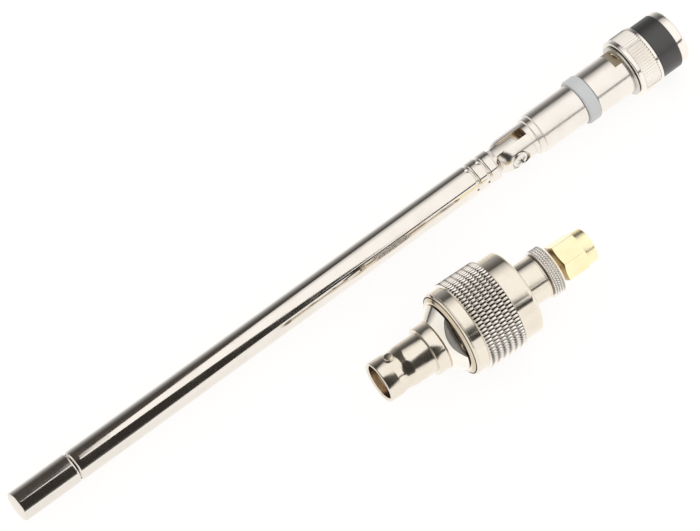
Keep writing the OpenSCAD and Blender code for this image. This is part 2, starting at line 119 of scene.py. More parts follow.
def piece(name, skins, body, slot, *nodes, sharp=38):
    """A mesh of closed skins. A skin is a grid of points whose cells are its faces; it closes round
    its second index, and round its first unless its end rows are points. Edges that turn by more
    than sharp degrees are hard. The piece rides on a body and stands for its CAD nodes."""
    points, faces, count = [], [], 0
    for grid in skins:
        rows, around = grid.shape[:2]
        here = count + np.arange(rows * around).reshape(rows, around)
        beside = np.roll(here, -1, axis=1)
        cells = np.stack([here, beside, np.roll(beside, -1, axis=0), np.roll(here, -1, axis=0)], axis=-1)
        faces.append(cells[: rows if closes(grid) else rows - 1].reshape(-1, 4))
        points.append(grid.reshape(-1, 3))
        count += rows * around
    mesh = bpy.data.meshes.new(name)
    mesh.from_pydata((np.concatenate(points) * MM).tolist(), [], np.concatenate(faces).tolist())
    shell = bmesh.new()
    shell.from_mesh(mesh)
    bmesh.ops.remove_doubles(shell, verts=shell.verts, dist=WELD)
    bmesh.ops.recalc_face_normals(shell, faces=shell.faces)
    shell.to_mesh(mesh)
    shell.free()
    mesh.shade_smooth()
    mesh.set_sharp_from_angle(angle=math.radians(sharp))
    thing = bpy.data.objects.new(name, mesh)
    bpy.context.scene.collection.objects.link(thing)
    weighted = thing.modifiers.new("large faces lead", "WEIGHTED_NORMAL")
    weighted.keep_sharp = True
    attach(thing, body)
    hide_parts(*nodes)
    return thing


tip_x, knob_end, whip_r = extent("tip_cap")
rod_r = extent("mast_rod")[2]
knob = piece("tip_knob", [turned([
    [tip_x, 0, 0], [tip_x, whip_r, 0.45], [knob_end, whip_r, 0.45], [knob_end, rod_r, 0],
    [tip_x + 4, rod_r, 0], [tip_x + 4, 0, 0]])], "section_6", "nickel", "tip_cap")


def group(name, inputs, outputs):
    """A shader node group with sockets (name, kind, starting value), and its two end nodes."""
    tree = bpy.data.node_groups.new(name, "ShaderNodeTree")
    for way, sockets in (("INPUT", inputs), ("OUTPUT", outputs)):
        for title, kind, *start in sockets:
            socket = tree.interface.new_socket(title, in_out=way, socket_type="NodeSocket" + kind)
            if start:
                socket.default_value = start[0]
    return tree, tree.nodes.new("NodeGroupInput"), tree.nodes.new("NodeGroupOutput")


def node(tree, kind, links=(), **values):
    """A node with its settings and unlinked inputs from values, and links (input, source socket)."""
    made = tree.nodes.new("ShaderNode" + kind)
    for key, value in values.items():
        if hasattr(made, key):
            setattr(made, key, value)
        else:
            made.inputs[key.replace("_", " ")].default_value = value
    for target, source in links:
        tree.links.new(source, made.inputs[target])
    return made


# Fine rings that the lathe tool leaves, as a height along X: noise on x alone, in lines per mm.
tool_marks, ends_in, ends_out = group(
    "tool marks", [("Place", "Vector"), ("Lines per mm", "Float", 5.0)], [("Height", "Float")])
along = node(tool_marks, "SeparateXYZ", [("Vector", ends_in.outputs["Place"])])
in_mm = node(tool_marks, "Math", [(0, along.outputs["X"])], operation="MULTIPLY")
in_mm.inputs[1].default_value = 1 / MM
lines = node(tool_marks, "Math", [(0, in_mm.outputs[0]), (1, ends_in.outputs["Lines per mm"])], operation="MULTIPLY")
rings = node(tool_marks, "TexNoise", [("W", lines.outputs[0])], noise_dimensions="1D", Scale=1.0, Detail=3.0)
tool_marks.links.new(rings.outputs[0], ends_out.inputs["Height"])

# Lines that the die leaves along a drawn tube: noise that changes fifty times faster round the
# tube than along it.
draw_marks, ends_in, ends_out = group(
    "draw marks", [("Place", "Vector"), ("Lines per mm", "Float", 2.0)], [("Height", "Float")])
stretched = node(draw_marks, "VectorMath", [(0, ends_in.outputs["Place"])], operation="MULTIPLY")
stretched.inputs[1].default_value = (0.02 / MM, 1 / MM, 1 / MM)
fine_lines = node(draw_marks, "VectorMath", [(0, stretched.outputs[0]), ("Scale", ends_in.outputs["Lines per mm"])],
                  operation="SCALE")
drawn = node(draw_marks, "TexNoise", [("Vector", fine_lines.outputs[0])], Scale=1.0, Detail=2.0)
draw_marks.links.new(drawn.outputs[0], ends_out.inputs["Height"])

# Handling: broad smudges from fingers, and small specks where the plate is dull.
handling, ends_in, ends_out = group(
    "handling", [("Place", "Vector")], [("Smudge", "Float"), ("Speck", "Float")])
film = node(handling, "TexNoise", [("Vector", ends_in.outputs["Place"])], Scale=170.0, Detail=5.0, Roughness=0.6)
smudge = node(handling, "MapRange", [("Value", film.outputs[0])], From_Min=0.45, From_Max=0.75)
dust = node(handling, "TexNoise", [("Vector", ends_in.outputs["Place"])], Scale=2600.0, Detail=1.0)
speck = node(handling, "MapRange", [("Value", dust.outputs[0])], From_Min=0.68, From_Max=0.76)
handling.links.new(smudge.outputs[0], ends_out.inputs["Smudge"])
handling.links.new(speck.outputs[0], ends_out.inputs["Speck"])


def placed(tree, group_tree, place):
    """A copy of a node group in a material, fed with object coordinates."""
    copy = tree.nodes.new("ShaderNodeGroup")
    copy.node_tree = group_tree
    tree.links.new(place, copy.inputs["Place"])
    return copy


FILM_TINT, WORN_DULLER = (0.78, 0.74, 0.66), 0.07


def metal(name, colour, dull, film=0.25, lines=5.0, relief=0.04, yaw=0.0, worked=tool_marks):
    """Plated metal: smudges darken the colour by film and dull it, specks dull it, and the marks of
    how it was worked follow the axis, which is turned by yaw from X."""
    made = bpy.data.materials.new(name)
    made.use_nodes = True
    tree = made.node_tree
    shader = tree.nodes["Principled BSDF"]
    shader.inputs["Metallic"].default_value = 1.0
    place = node(tree, "Mapping", [("Vector", node(tree, "TexCoord").outputs["Object"])])
    place.inputs["Rotation"].default_value = (0, 0, -yaw)
    marks = placed(tree, worked, place.outputs[0])
    marks.inputs["Lines per mm"].default_value = lines
    worn = placed(tree, handling, place.outputs[0])
    shade = node(tree, "Math", [(0, worn.outputs["Smudge"])], operation="MULTIPLY")
    shade.inputs[1].default_value = film
    tone = node(tree, "Mix", [(0, shade.outputs[0])], data_type="RGBA")
    tone.inputs[6].default_value = (*colour, 1)
    tone.inputs[7].default_value = (*np.multiply(colour, FILM_TINT), 1)
    tree.links.new(tone.outputs[2], shader.inputs["Base Color"])
    wear = node(tree, "Math", [(0, worn.outputs["Smudge"]), (1, worn.outputs["Speck"])], operation="MAXIMUM")
    rough = node(tree, "MapRange", [("Value", wear.outputs[0])], To_Min=dull, To_Max=dull + WORN_DULLER)
    tree.links.new(rough.outputs[0], shader.inputs["Roughness"])
    bump = node(tree, "Bump", [("Height", marks.outputs["Height"])], Strength=relief, Distance=2e-5)
    tree.links.new(bump.outputs[0], shader.inputs["Normal"])
    return made


def finish(thing, *materials):
    """Gives a piece its materials; the first is on every face."""
    thing.data.materials.clear()
    for material in materials:
        thing.data.materials.append(material)


def faces_of(thing, undo=lambda points: points):
    """Middles and normals of the faces of a piece, in millimetres, after undo has moved the middles."""
    count = len(thing.data.polygons)
    middle, normal = np.empty(count * 3), np.empty(count * 3)
    thing.data.polygons.foreach_get("center", middle)
    thing.data.polygons.foreach_get("normal", normal)
    return undo(middle.reshape(-1, 3) / MM), normal.reshape(-1, 3)


def second_finish(thing, chosen):
    """Gives each face the material that chosen counts from 0 for it: true is the second material."""
    thing.data.polygons.foreach_set("material_index", chosen.astype(np.int32))


drawn_plate = metal("nickel on drawn tube", (0.87, 0.825, 0.775), 0.07, lines=2.0, relief=0.10, worked=draw_marks)
finish(knob, metal("nickel on the knob", (0.85, 0.81, 0.76), 0.09, lines=6.0, relief=0.03))


# ---- Drawn sections ----
# Five drawn brass tubes, one inside the other, and a solid rod in the last. Each tube's mouth is
# rolled in on the next. The outer one is crimped on the elbow's stem: two rolled grooves, with
# four punch marks beside each.

def finer(outline, first, last, step, above=0.0):
    """The outline with each edge whose middle lies between x = first and last, and further than
    above from the axis, cut in equal parts no longer than step."""
    ahead = np.roll(outline, -1, 0)
    middle = (outline + ahead) / 2
    inside = (middle[:, 0] > first) & (middle[:, 0] < last) & (middle[:, 1] > above)
    parts = np.where(inside, np.ceil(np.linalg.norm(ahead - outline, axis=1) / step), 1).astype(int)
    edge = np.repeat(np.arange(len(outline)), parts)
    share = (np.arange(parts.sum()) - np.repeat(np.cumsum(parts) - parts, parts)) / parts[edge]
    return outline[edge] + share[:, None] * (ahead - outline)[edge]


def tube_outline(node_name, next_r, wall=0.3):
    """Closed outline of a drawn tube, from its rolled mouth to its inner end."""
    mouth, rear, r = extent(node_name)
    lip = next_r + 0.03
    return rounded([[mouth + 1.5, lip, 0], [mouth, lip, 0.03], [mouth + 0.02, lip + 0.06, 0.03],
                    [mouth + 0.35, r - 0.1, 0.1], [mouth + 1.2, r, 0.4], [rear, r, 0.08],
                    [rear, r - wall, 0], [mouth + 1.8, r - wall, 0]])


pivot = np.array(joints["elbow_fold"]["pos_m"]) / MM
collar_x = extent("mast_tube_1")[1]
crimps = collar_x + np.array([-5.3, -2.3])
CRIMP_WIDE, CRIMP_DEEP = 0.62, 0.32
PUNCH_R, PUNCH_DEEP, PUNCH_BACK = 0.52, 0.26, 0.55
PUNCHES = np.radians([-15, 75, 165, 255])

outline = tube_outline("mast_tube_1", extent("mast_tube_2")[2])
last_wall = np.argmax(outline[:, 0] > crimps[0])
outline = np.insert(outline, last_wall, [crimps[0] - 2, whip_r], axis=0)
outline = finer(outline, crimps[0] - 2, collar_x, 0.07, whip_r - 0.1)
x, r = outline.T
f = round_angles(256)
outer = (r > whip_r - 0.05)[:, None]
table = np.broadcast_to(r[:, None], (len(r), len(f))).copy()
for groove_x in crimps:
    across = np.clip((x - groove_x) / CRIMP_WIDE, -1, 1)[:, None]
    table -= outer * CRIMP_DEEP * np.cos(np.pi / 2 * across) ** 2
    for punch in PUNCHES:
        turn = (f[None] - punch + np.pi) % (2 * np.pi) - np.pi
        off = np.hypot(x[:, None] - groove_x + PUNCH_BACK, whip_r * turn) / PUNCH_R
        table -= outer * PUNCH_DEEP * np.clip(1 - off**2, 0, 1) ** 0.7
outer_tube = piece("outer_tube", [spun(x, table, 256)], "mast", "nickel", "mast_tube_1")

# Painted shade: the punch marks of the lower side are given a dark brown colour for the shade in their hollows.
finish(outer_tube, drawn_plate, metal("painted shade in a punch mark", (0.20, 0.15, 0.10), 0.4, relief=0.0))
middle, normal = faces_of(outer_tube)
beside_groove = np.abs(middle[:, :1] - crimps + PUNCH_BACK).min(axis=1) < 0.4
sunk = whip_r - np.hypot(*middle[:, 1:].T) > 0.14
lower = (middle[:, 2] < 2.2) & (middle[:, 0] < collar_x - 1)
past_punch = (np.arctan2(-middle[:, 1], middle[:, 2]) - PUNCHES[1]) % (np.pi / 2)
at_punch = np.abs(past_punch - np.pi / 4) > np.pi / 4 - 0.12
second_finish(outer_tube, beside_groove & sunk & lower & at_punch)

for number in range(2, 6):
    inner_r = extent(f"mast_tube_{number + 1}")[2] if number < 5 else rod_r
    drawn = tube_outline(f"mast_tube_{number}", inner_r)
    tube = piece(f"drawn_tube_{number}", [spun(*drawn.T, 128)], f"section_{number}", "nickel",
                 f"mast_tube_{number}")
    finish(tube, drawn_plate)

rod_from, rod_to, _ = extent("mast_rod")
rod = piece("last_rod", [turned([
    [rod_from, 0, 0], [rod_from, rod_r, 0.1], [rod_to, rod_r, 0.1], [rod_to, 0, 0]], 96)],
    "section_6", "nickel", "mast_rod")
finish(rod, drawn_plate)


# ---- Elbow ----
# A flat tongue on the whip's stem turns between two prongs, on a screw. Tongue and fork are
# turned from brass bar and milled flat, the fork slotted with a disc cutter, then plated.
fold_axis = joints["elbow_fold"]["axis"]
elbow_roll = math.atan2(fold_axis[1], -fold_axis[2])
TONGUE_T, SLOT_T = 2.4, 2.5
HOLE_R, NOSE_R, AROUND_PIN = 1.2, 3.5, 256
FORK_R, NOSE_BACK, NOSE_LONG, SLOT_END = 3.85, 1.0, 3.9, 3.9
fork_x, ring_x = pivot[0] + 5.15, extent("insulator_ring")[0]


def hinged(points):
    """Points from the elbow's frame, where Z is the hinge pin and Y the side it folds to."""
    c, s = math.cos(elbow_roll), math.sin(elbow_roll)
    return points @ np.array([[1, 0, 0], [0, c, s], [0, -s, c]]) + [pivot[0], 0, 0]


def rings_about_pin(radii, heights):
    """Grid about the hinge pin: rows of points (R cos t, R sin t, z), with R and z given as one
    number or one table of angles for each row."""
    t = round_angles(AROUND_PIN)
    return np.array([np.stack(np.broadcast_arrays(R * np.cos(t), R * np.sin(t), z), axis=-1)
                     for R, z in zip(radii, heights)])


cos_t, sin_t = np.cos(round_angles(AROUND_PIN)), np.sin(round_angles(AROUND_PIN))


def corner(long, wide):
    """Distance from the pin, at each angle, to the sides of a rectangle about it that reaches as
    far as long before and behind, and as far as wide to each side."""
    return np.minimum(long / np.maximum(np.abs(cos_t), 1e-6), wide / np.maximum(np.abs(sin_t), 1e-6))


# Outline of the tongue: a round nose, a flat run back to the stem, and the square heel that
# meets the fork when the whip is straight.
BACK_LONG, BACK_WIDE, HEEL_LONG, HEEL_WIDE, STEM_R = 5.3, 3.6, 3.85, 2.6, whip_r - 0.95
run_back = np.where(cos_t < 0, corner(BACK_LONG, BACK_WIDE), 0)
heel = np.where((cos_t > 0) & (sin_t < 0), corner(HEEL_LONG, HEEL_WIDE), 0)
edge_r = np.maximum(NOSE_R, np.maximum(run_back, heel))
half = TONGUE_T / 2
eye = np.full(AROUND_PIN, HOLE_R + 0.05)
flat = rings_about_pin([eye, edge_r - 0.12, edge_r - 0.03, edge_r, edge_r, edge_r - 0.03, edge_r - 0.12, eye],
                       [-half, -half, 0.03 - half, 0.12 - half, half - 0.12, half - 0.03, half, half])
within = np.sqrt(whip_r**2 - flat[..., 2] ** 2)
flat[..., 1] = np.clip(flat[..., 1], -within, within)
stem_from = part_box("elbow_tongue")[0].x / MM
stem = turned([[stem_from, 0, 0], [stem_from, STEM_R, 0.2], [collar_x, STEM_R, 0],
               [collar_x, whip_r, 0.06], [collar_x + 0.35, whip_r, 0.12], [pivot[0] - 5.05, 2.8, 0.1],
               [pivot[0] - 5.05, 0, 0]])
tongue = piece("tongue", [hinged(flat), stem], "mast", "nickel", "elbow_tongue")
turned_plate = metal("nickel on turned brass", (0.87, 0.825, 0.775), 0.20, lines=7.0, relief=0.06)
finish(tongue, turned_plate)

# Each prong is a slice of the bar: flat towards the slot, round outside, with a ball nose. The
# near one is counterbored for the screw head.
def bar(x, y):
    """Height of the bar's outside over the slot's middle: the bar is round, and in front of the pin
    by NOSE_BACK its radius falls as a superellipse of length NOSE_LONG and exponent 2.5."""
    ahead = np.clip(-(x + NOSE_BACK) / NOSE_LONG, 0, 1)
    return np.sqrt(np.maximum(FORK_R**2 * (1 - ahead**2.5) ** 0.8 - y**2, (SLOT_T / 2) ** 2))


reach = np.linspace(0.5, 6, 1200)[:, None]
there = (bar(reach * cos_t, reach * sin_t) > SLOT_T / 2 + 1e-9) & (reach * cos_t < SLOT_END + 0.4)
prong_r = (reach * there).max(axis=0)
BORE_R, BORE_Z = 2.35, FORK_R - 1.2


def prong(inner_r, floor_z, side):
    """A prong as a grid about the pin: out along the slot face, up the outer wall, back over the
    round of the bar to the counterbore and down the screw hole."""
    share = np.linspace(0, 1, 24)[:, None] ** 1.6
    over = prong_r * (1 - share) + np.minimum(inner_r, prong_r) * share
    flats = np.array([np.full(AROUND_PIN, HOLE_R), prong_r - 0.05])
    down = np.array([np.full(AROUND_PIN, inner_r), np.full(AROUND_PIN, HOLE_R)])
    radii = np.concatenate([flats, over, down])
    z = bar(over * cos_t, over * sin_t)
    z[0] = np.maximum(z[0] - 0.06, SLOT_T / 2 + 0.04)
    low = np.full((2, AROUND_PIN), SLOT_T / 2)
    top = np.array([np.full(AROUND_PIN, floor_z)] * 2) if floor_z else bar(down * cos_t, down * sin_t)
    return rings_about_pin(radii, np.concatenate([low, z, top])) * [1, 1, side]


SHOULDER_R, BARREL_R, SPIGOT_R = 4.3, FORK_R + 0.85, 2.6
barrel = turned([
    [pivot[0] + SLOT_END, 0, 0], [pivot[0] + SLOT_END, FORK_R, 0], [fork_x, FORK_R, 0.03],
    [fork_x + 0.12, SHOULDER_R, 0.05], [fork_x + 1.4, SHOULDER_R, 0.03], [fork_x + 1.52, BARREL_R, 0.06],
    [ring_x, BARREL_R, 0.25], [ring_x, SPIGOT_R, 0], [ring_x + 6, SPIGOT_R, 0], [ring_x + 6, 1, 0],
    [ring_x + 2, 1, 0], [ring_x + 2, 0, 0]])
fork = piece("fork", [hinged(prong(BORE_R, BORE_Z, 1)), hinged(prong(HOLE_R + 0.02, None, -1)), barrel],
             "plug", "nickel", "elbow_fork")

# Painted shade: the faces inside the slot get a browned, duller plate for the shade in it.
painted_shade_plate = metal("plate browned as painted shade", (0.93, 0.78, 0.60), 0.34, film=0.5, lines=4.0)
finish(fork, turned_plate, painted_shade_plate)
middle, normal = faces_of(fork)
pin_way = np.array([0, -math.sin(elbow_roll), math.cos(elbow_roll)])
over_slot = np.abs((middle - [pivot[0], 0, 0]) @ pin_way) < SLOT_T / 2 + 0.02
second_finish(fork, over_slot & (middle[:, 0] < pivot[0] + SLOT_END + 0.01))

# Pan-head steel screw in the near prong. Its head is a low dome with a cross recess whose walls
# slope, and its point is flush with the far prong.
HEAD_R, HEAD_LOW, HEAD_RISE, POINT_Z = 2.0, FORK_R - 0.7, 0.65, -3.2
CROSS_HALF, CROSS_WIDE, CROSS_DEEP, CROSS_TURN = 1.2, 0.36, 0.6, math.radians(25)
rho = np.linspace(1, 0, 34)[:, None] ** 0.8
px, py = HEAD_R * rho * cos_t, HEAD_R * rho * sin_t
c, s = math.cos(CROSS_TURN), math.sin(CROSS_TURN)
qx, qy = px * c + py * s, py * c - px * s


def arm(u, v):
    """Depth from 0 to 1 of one arm of the cross along u, its ends and sides sloping."""
    return np.clip((CROSS_HALF - np.abs(u)) / 0.25, 0, 1) * np.clip((CROSS_WIDE - np.abs(v)) / 0.16, 0, 1)


dome = HEAD_LOW + HEAD_RISE * np.sqrt(1 - rho**2) - CROSS_DEEP * np.maximum(arm(qx, qy), arm(qy, qx))
rows = [(0.0, POINT_Z), (HOLE_R - 0.2, POINT_Z), (HOLE_R, POINT_Z + 0.2), (HOLE_R, BORE_Z), (HEAD_R, BORE_Z)]
shank = rings_about_pin([np.full(AROUND_PIN, a) for a, _ in rows], [b for _, b in rows])
head = np.stack(np.broadcast_arrays(px, py, dome), axis=-1)
screw = piece("cross_head_screw", [hinged(np.concatenate([shank, head]))], "plug", "spring_steel",
              "hinge_screw", sharp=50)
finish(screw, metal("bright screw steel", (0.80, 0.78, 0.74), 0.22, film=0.3, relief=0.0))


# ---- Insulating ring and shell ----
# A grey moulded ring parts the live barrel from the plug's shell. The shell is turned brass,
# plated, with two spanner flats, and a groove for the clip that holds the coupling nut.
ring_r = extent("insulator_ring")[2]
LINER_R, SHELL_R = 4.1, 5.2
shell_x, liner_x = ring_x + 3.0, ring_x + 8.2
grey_ring = piece("grey_ring", [turned([
    [ring_x, SPIGOT_R, 0], [ring_x + 6, SPIGOT_R, 0], [ring_x + 6, 1, 0], [liner_x, 1, 0], [liner_x, LINER_R, 0],
    [shell_x, LINER_R, 0], [shell_x, ring_r, 0.4], [ring_x, ring_r, 0.45]])],
    "plug", "grey_plastic", "insulator_ring")

# Moulded plastic: a faint mottle in the colour, and a fine matt grain as a height.
grain, ends_in, ends_out = group(
    "moulded grain", [("Place", "Vector")], [("Mottle", "Float"), ("Height", "Float")])
pebble = node(grain, "TexNoise", [("Vector", ends_in.outputs["Place"])], Scale=2500.0, Detail=3.0)
cloud = node(grain, "TexNoise", [("Vector", ends_in.outputs["Place"])], Scale=260.0, Detail=4.0)
grain.links.new(pebble.outputs[0], ends_out.inputs["Height"])
grain.links.new(cloud.outputs[0], ends_out.inputs["Mottle"])


def plastic(name, colour, second, dull, relief=0.25, gloss=1.5):
    """Moulded plastic: the colour drifts to the second one with the mottle, over a fine grain."""
    made = bpy.data.materials.new(name)
    made.use_nodes = True
    tree = made.node_tree
    shader = tree.nodes["Principled BSDF"]
    shader.inputs["Roughness"].default_value = dull
    shader.inputs["IOR"].default_value = gloss
    body = placed(tree, grain, node(tree, "TexCoord").outputs["Object"])
    tone = node(tree, "Mix", [(0, body.outputs["Mottle"])], data_type="RGBA")
    tone.inputs[6].default_value, tone.inputs[7].default_value = (*colour, 1), (*second, 1)
    tree.links.new(tone.outputs[2], shader.inputs["Base Color"])
    bump = node(tree, "Bump", [("Height", body.outputs["Height"])], Strength=relief, Distance=3e-5)
    tree.links.new(bump.outputs[0], shader.inputs["Normal"])
    return made


finish(grey_ring, plastic("grey insulator", (0.60, 0.61, 0.615), (0.55, 0.56, 0.56), 0.38, gloss=1.6))

clip_x, FLATS_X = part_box("retaining_clip")[0].x / MM, -16.35
FLAT_ACROSS, FLAT_TURNS = 8.0, np.radians([-35, 145])
outline = rounded([
    [shell_x, LINER_R, 0], [shell_x, SHELL_R, 0.25], [FLATS_X, SHELL_R, 0], [FLATS_X + 0.01, SHELL_R, 0],
    [clip_x, SHELL_R, 0.12], [clip_x, 4.7, 0], [clip_x + 0.45, 4.7, 0], [clip_x + 0.45, 5, 0], [-8.9, 5, 0],
    [-8.9, 5.85, 0.1], [-8, 5.85, 0.1], [-8, 4.25, 0], [clip_x, 4.25, 0], [clip_x, 3.5, 0],
    [liner_x, 3.5, 0], [liner_x, LINER_R, 0]])
f = round_angles(288)
bend = np.min(np.abs((f[None] - FLAT_TURNS[:, None] + np.pi) % (2 * np.pi) - np.pi), axis=0)
flat_r = FLAT_ACROSS / 2 / np.cos(np.minimum(bend, 1.2))
x, r = outline.T
milled = ((x > FLATS_X + 0.005) & (x < clip_x + 0.3) & (r > 4.5))[:, None]
table = np.where(milled, np.minimum(r[:, None], flat_r), r[:, None])
shell = piece("plug_body", [spun(x, table, 288)], "plug", "nickel", "plug_shell")
# Painted shade: the spanner flats, the clip groove and the faces under the nut get the browned plate too.
finish(shell, turned_plate, painted_shade_plate)
middle, normal = faces_of(shell)
second_finish(shell, (middle[:, 0] > FLATS_X) & (np.abs(normal[:, 0]) < 0.9)
              & (np.hypot(*middle[:, 1:].T) < SHELL_R - 0.03))


# ---- Coupling nut ----
# Bayonet coupling nut, free to turn on the shell. Its rear half is knurled straight, its front
# half has two cam slots under a black moulded grip ring, and a rounded lip.
nut_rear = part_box("knurled_ring")[0].x / MM
knurl_r = 6.95
RIBS_A, RIBS_B, BEVEL_X, GRIP_X, LIP_X = -12.5, -8.35, -7.7, -7.5, -2.2
RIBS, RIB_DEEP = 62, 0.3
base_r = knurl_r + 0.05 - RIB_DEEP
outline = rounded([
    [nut_rear, 5.05, 0], [nut_rear, knurl_r, 0.3], [RIBS_A, knurl_r, 0.08], [RIBS_A, base_r, 0],
    [RIBS_B, base_r, 0], [RIBS_B, knurl_r, 0.08], [BEVEL_X, knurl_r, 0.05], [GRIP_X, 6.6, 0], [GRIP_X, 6, 0],
    [-10.9, 6, 0], [-10.9, 5.05, 0]])
outline = finer(outline, RIBS_A + 0.01, RIBS_B - 0.01, 0.12, base_r - 0.1)
x, r = outline.T
f = round_angles(RIBS * 8)
rib = 1 - np.abs(2 * ((f * RIBS / (2 * np.pi)) % 1) - 1)
run_out = np.clip(np.minimum(x - RIBS_A, RIBS_B - x) / 0.3, 0, 1)
knurled = ((np.abs(r - base_r) < 0.01) * (0.8 + 0.2 * run_out))[:, None]
nut = piece("knurled_nut", [spun(x, r[:, None] + knurled * RIB_DEEP * np.minimum(1.25 * rib, 1), RIBS * 8)],
            "coupling_nut", "nickel", "knurled_ring", sharp=60)
nut_plate = metal("nickel on the nut", (0.90, 0.86, 0.81), 0.14, lines=8.0, relief=0.05)
finish(nut, nut_plate)

# Cam slot on the bore: straight in from the rim to CAM_X, then round by CAM_TURN while it runs
# back, to a pocket for the lug. Its depth is a soft step of the distance from its centre line.
NUT_BORE, SLOT_DEEP, SLOT_HALF = 4.92, 0.76, 1.08
CAM_X, CAM_BACK, CAM_R, CAM_TURN, POCKET_TURN = -2.4, 1.7, 5.3, math.radians(72), math.radians(76)
outline = finer(rounded([
    [-7.85, NUT_BORE, 0], [-7.85, 6, 0], [GRIP_X, 6, 0], [GRIP_X, 5.75, 0], [LIP_X, 5.75, 0], [LIP_X, 6.4, 0.08],
    [0, 6.4, 1.0], [0, NUT_BORE, 0.3]]), -7.85, 0.1, 0.16, 0)
x, r = outline.T
f = round_angles(384)
bore = (np.abs(r - NUT_BORE) < 0.02) | ((x > -0.32) & (r < 5.3))
deep = np.zeros((len(x), len(f)))
for entry in np.radians([110, 290]):
    turn = (f[None] - entry + 0.4) % (2 * np.pi) - 0.4
    straight = np.where(x[:, None] > CAM_X, CAM_R * np.abs(turn), np.inf)
    cam = np.hypot(x[:, None] - CAM_X + CAM_BACK * np.clip(turn / CAM_TURN, 0, 1),
                   CAM_R * np.abs(turn - np.clip(turn, 0, POCKET_TURN)))
    deep = np.maximum(deep, np.clip((SLOT_HALF - np.minimum(straight, cam)) / 0.08, 0, 1))
sleeve = piece("nut_sleeve", [spun(x, r[:, None] + bore[:, None] * SLOT_DEEP * deep, 384)],
               "coupling_nut", "nickel", "bayonet_sleeve")
finish(sleeve, nut_plate)

grip = piece("black_grip", [turned([
    [GRIP_X, 5.75, 0], [GRIP_X, 6.5, 0.22], [LIP_X, 6.5, 0.22], [LIP_X, 5.75, 0]])],
    "coupling_nut", "black_plastic", "grip_ring")
finish(grip, plastic("black grip", (0.018, 0.0165, 0.0165), (0.028, 0.026, 0.026), 0.38, gloss=1.75))


# ---- Contacts of the plug ----
# A nickel-plated sleeve of four springy fingers, a white insulator and a gilt pin, as one sees
# them down the mouth of the coupling nut.

def sector(corners, first, last, steps=24):
    """A closed outline carried round the X axis from angle first to last, with flat ends."""
    x, r = rounded(corners).T
    f = np.linspace(first, last, steps)[:, None]
    body = np.stack(np.broadcast_arrays(x, -r * np.sin(f), r * np.cos(f)), axis=-1)
    ends = np.repeat(body.mean(axis=1, keepdims=True), len(x), axis=1)
    return np.concatenate([ends[:1], body, ends[-1:]])


sleeve_r = 4.05
gap = 0.25 / sleeve_r
skins = [turned([[clip_x, 3.5, 0], [clip_x, 4.25, 0], [-7.2, 4.25, 0], [-7.2, sleeve_r, 0], [-6, sleeve_r, 0],
                 [-6, 3.5, 0]])]
skins += [sector([[-6, 3.5, 0], [-6, sleeve_r, 0], [0, sleeve_r, 0.28], [0, 3.5, 0.1]],
                 quarter + gap, quarter + np.pi / 2 - gap) for quarter in np.radians([45, 135, 225, 315])]
fingers = piece("plug_fingers", skins, "plug", "nickel", "contact_sleeve")
finish(fingers, nut_plate)

white = plastic("white insulator", (0.86, 0.86, 0.83), (0.80, 0.80, 0.77), 0.42, relief=0.1)
core = piece("plug_core", [turned([
    [liner_x, 1, 0], [clip_x + 2, 1, 0], [clip_x + 2, 0.9, 0], [-8.4, 0.9, 0], [-8.4, 2.45, 0],
    [-2.6, 2.45, 0.1], [-2.6, 3.5, 0.1], [liner_x, 3.5, 0]])], "plug", "white_plastic", "plug_insulator")
finish(core, white)

gilt = metal("gilt contact", (0.93, 0.74, 0.38), 0.16, lines=9.0, relief=0.04)
pin_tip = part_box("plug_pin")[1].x / MM
pin = piece("plug_centre_pin", [turned([
    [clip_x + 2, 0, 0], [clip_x + 2, 0.9, 0], [-8.4, 0.9, 0.05], [-8.4, 0.675, 0], [pin_tip, 0.675, 0.6],
    [pin_tip, 0, 0]], 64)], "plug", "gold_plate", "plug_pin")
finish(pin, gilt)

steel = metal("spring steel", (0.66, 0.65, 0.62), 0.28, film=0.4, lines=3.0)
clip = piece("nut_clip", [sector([
    [clip_x, 4.7, 0], [clip_x, 6.1, 0.1], [clip_x + 0.45, 6.1, 0.1], [clip_x + 0.45, 4.7, 0]],
    math.radians(211), math.radians(549), 180)], "plug", "spring_steel", "retaining_clip")
finish(clip, steel)


# ---- Jack of the adapter ----
# One turned and milled brass body: the bayonet barrel with two lugs pressed in, a step, and a
# cone with two milled flats for a spanner. The barrel is waisted behind the lugs.
rim = np.array(joints["large_nut_turn"]["pos_m"]) / MM
axis = -np.array(joints["large_nut_turn"]["axis"])
yaw = math.atan2(axis[1], axis[0])


def laid(points):
    """Points from the adapter's own frame, with its rim at x = 0, to where the adapter lies."""
    c, s = math.cos(yaw), math.sin(yaw)
    return points @ np.array([[c, s, 0], [-s, c, 0], [0, 0, 1]]) + rim


def flats(across, number, turn, around):
    """Radius of equal flats round the X axis: half of across, over the cosine of the angle to the
    middle of the nearest flat. The first flat faces the angle turn."""
    half = np.pi / number
    return across / 2 / np.cos((round_angles(around) - turn + half) % (2 * half) - half)


